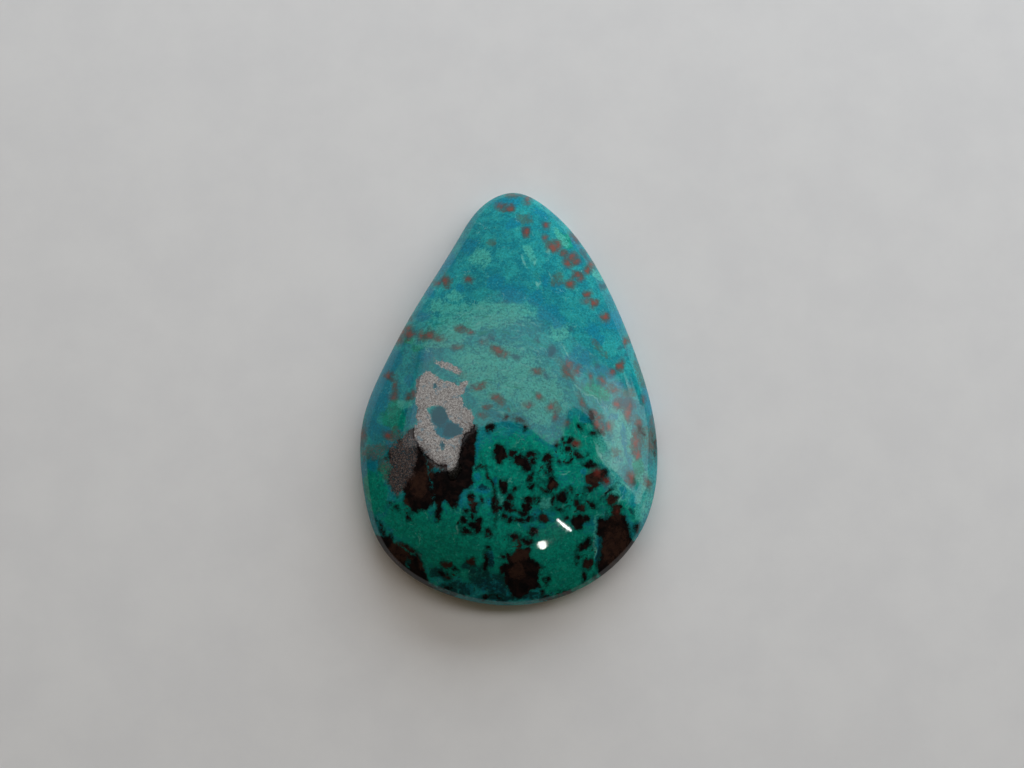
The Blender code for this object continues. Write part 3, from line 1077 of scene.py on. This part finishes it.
@dataclass(frozen=True)
class Cabochon:
    """The stone: its form, its markings and its finish."""

    form: CabochonForm = CabochonForm()
    markings: Markings = Markings()
    finish: PolishedChrysocolla = PolishedChrysocolla()
    crease: float = math.radians(35.0)

    def build(self) -> bpy.types.Object:
        """Builds the skin, lays the fields over it and gives it its finish.

        Returns:
            The stone, which rides on the root body and stands for its solid.
        """
        knots, faces = self.form.skin()
        mesh = bpy.data.meshes.new("polished_cabochon")
        mesh.from_pydata((knots * MM).tolist(), [], faces)
        mesh.shade_smooth()
        mesh.set_sharp_from_angle(angle=self.crease)
        for kind, values in self.markings.fields(knots, self.form).items():
            layer = mesh.attributes.new(kind.value, "FLOAT", "POINT")
            layer.data.foreach_set("value", values.astype(np.float32))
        course = mesh.attributes.new("wisp course", "FLOAT_VECTOR", "POINT")
        flow = self.markings.wisp_course(knots, self.form).astype(np.float32)
        course.data.foreach_set("vector", flow.ravel())
        mesh.materials.append(self.finish.build())
        stone = add_object("polished_cabochon", mesh)
        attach(stone, "root")
        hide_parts("cabochon")
        return stone


@dataclass(frozen=True)
class PaperFloor:
    """A plain pale sheet under the stone."""

    half_side: float = 2.0
    lowered: float = 0.00001
    colour: Colour = (0.772, 0.781, 0.795)
    shade: Colour = (0.738, 0.747, 0.765)
    roughness: float = 0.9

    def build(self) -> bpy.types.Object:
        """Lays the sheet just under the stone's flat back.

        Returns:
            The floor, which is stage and no part of the stone.
        """
        corners = [(right * self.half_side, up * self.half_side, -self.lowered)
                   for right, up in ((-1, -1), (1, -1), (1, 1), (-1, 1))]
        mesh = bpy.data.meshes.new("floor")
        mesh.from_pydata(corners, [], [(0, 1, 2, 3)])
        paper = bpy.data.materials.new("pale paper")
        sheet = NodeSheet(paper)
        cloud = sheet.noise(sheet.place(), 0.12, 5.0, 0.6)
        shader = sheet.tree.nodes["Principled BSDF"].inputs
        sheet.put(shader["Base Color"], sheet.over(self.shade, self.colour, cloud, 0.3, 0.7))
        sheet.put(shader["Roughness"], self.roughness)
        sheet.put(shader["Specular IOR Level"], 0.0)
        mesh.materials.append(paper)
        floor = add_object("floor", mesh)
        return floor


class Shown(Enum):
    """What a light shows in: the matt look, the gloss, or both."""

    BOTH = "both"
    MATT = "matt"
    GLOSS = "gloss"


@dataclass(frozen=True)
class Panel:
    """One flat rectangular light, sized and placed in millimetres."""

    name: str
    middle: Triple
    aim: Triple
    wide: float
    tall: float
    radiance: float
    colour: Colour = (1.0, 1.0, 1.0)
    kind: Shown = Shown.BOTH
    round: bool = False
    along: Triple = (1.0, 0.0, 0.0)

    def build(self) -> bpy.types.Object:
        """Hangs the light, with its power worked out from its brightness.

        Returns:
            The light, whose face points from its middle to its aim.
        """
        light = bpy.data.lights.new(self.name, "AREA")
        light.shape = "ELLIPSE" if self.round else "RECTANGLE"
        light.size = self.wide * MM
        light.size_y = self.tall * MM
        light.color = self.colour
        area = light.size * light.size_y * (math.pi / 4.0 if self.round else 1.0)
        light.energy = self.radiance * math.pi * area
        lamp = add_object(self.name, light)
        back = (Vector(self.middle) - Vector(self.aim)).normalized()
        along = Vector(self.along)
        along = (along - back * along.dot(back)).normalized()
        lamp.matrix_world = facing((along, back.cross(along), back), Vector(self.middle))
        lamp.visible_camera = False
        lamp.visible_diffuse = self.kind is not Shown.GLOSS
        lamp.visible_glossy = self.kind is not Shown.MATT
        return lamp


@dataclass(frozen=True)
class StudioLight:
    """A wide soft band overhead, low walls of light, a day fill and two small lamps."""

    ceiling: float = 600.0
    lengths: tuple[tuple[float, float, float, float], ...] = (
        (-1.04, -0.92, 0.45, 1.0), (-0.92, 0.45, 0.94, 1.0), (0.45, 0.85, 1.6, 1.0),
        (0.85, 1.6, 2.4, 1.0), (1.6, 2.6, 2.1, 1.6), (2.6, 4.0, 1.7, 2.2),
    )
    depths: tuple[Triple, ...] = (
        (0.160, 0.54, 1.0), (0.54, 0.59, 0.75), (0.59, 0.64, 0.45), (0.64, 0.70, 0.2),
    )
    gloom: Colour = (0.124, 0.092, 0.055)
    dark: Colour = (0.022, 0.020, 0.017)
    backdrop: Colour = (0.45, 0.45, 0.45)

    def band(self) -> list[Panel]:
        """The light overhead: level panels side by side, fading away from the stone.

        Their edges are shares of their height over the floor, so each fixes
        where on the dome its reflection ends. The band spreads to the right.

        Returns:
            The panels of the band.
        """
        found = []
        for left, right, radiance, spread in self.lengths:
            for start, end, share in self.depths:
                near = start if start == self.depths[0][0] else start * spread
                far = end * spread
                middle = (0.5 * (left + right) * self.ceiling,
                          0.5 * (near + far) * self.ceiling, self.ceiling)
                found.append(Panel("soft band", middle, (middle[0], middle[1], 0.0),
                                   (right - left) * self.ceiling,
                                   (far - near) * self.ceiling, radiance * share))
        return found

    def panels(self) -> list[Panel]:
        """All lights of the studio."""
        return self.band() + [
            Panel("far wall", (0.0, 420.0, 270.0), (0.0, 0.0, 0.0), 1700.0, 560.0, 0.17,
                  (0.97, 0.99, 1.0)),
            Panel("right wall", (900.0, 130.0, 125.0), (0.0, 130.0, 125.0), 260.0, 200.0, 1.4,
                  along=(0.0, 1.0, 0.0)),
            Panel("left wall", (-560.0, 270.0, 200.0), (0.0, 0.0, 0.0), 400.0, 460.0, 0.18,
                  along=(0.0, 1.0, 0.0)),
            Panel("day fill", (170.0, 400.0, 140.0), (0.0, 0.0, 0.0), 760.0, 220.0, 5.6,
                  (0.915, 0.985, 1.045), kind=Shown.MATT),
            Panel("round lamp", (155.0, -340.0, 600.0), (3.3, -16.0, 4.7), 46.0, 13.0, 32.0,
                  (1.0, 0.98, 0.92), Shown.GLOSS, True, (0.316, -0.949, 0.0)),
            Panel("long lamp", (168.0, -295.0, 600.0), (5.5, -14.0, 5.1), 94.0, 6.0, 45.0,
                  (1.0, 1.0, 1.0), Shown.GLOSS, True, (0.697, -0.717, 0.0)),
        ]

    def build(self) -> None:
        """Hangs the lights and sets the dim room round them."""
        for panel in self.panels():
            panel.build()
        world = bpy.data.worlds.new("room")
        sheet = NodeSheet(world)
        shown = sheet.blend(sheet.node("LightPath", "Is Glossy Ray", {}), self.gloom, self.dark)
        shown = sheet.blend(sheet.node("LightPath", "Is Camera Ray", {}), shown, self.backdrop)
        sheet.put(sheet.tree.nodes["Background"].inputs["Color"], shown)
        bpy.context.scene.world = world


def main() -> None:
    """Builds the stone, the floor, the light and the camera, in that order."""
    logging.basicConfig(level=logging.INFO, format="%(name)s: %(message)s")
    stone = Cabochon().build()
    log.info("%s: %d knots, %d faces", stone.name, len(stone.data.vertices),
             len(stone.data.polygons))
    floor = PaperFloor().build()
    log.info("%s laid at z = %.5f m", floor.name, floor.data.vertices[0].co.z)
    StudioLight().build()
    log.info("lights: %d", len(StudioLight().panels()))
    camera = PhotoCamera().build()
    log.info("%s: lens %.1f mm", camera.name, camera.data.lens)
    scene = bpy.context.scene
    scene.view_settings.view_transform = "Standard"
    scene.view_settings.look = "None"


if __name__ == "__main__":
    main()
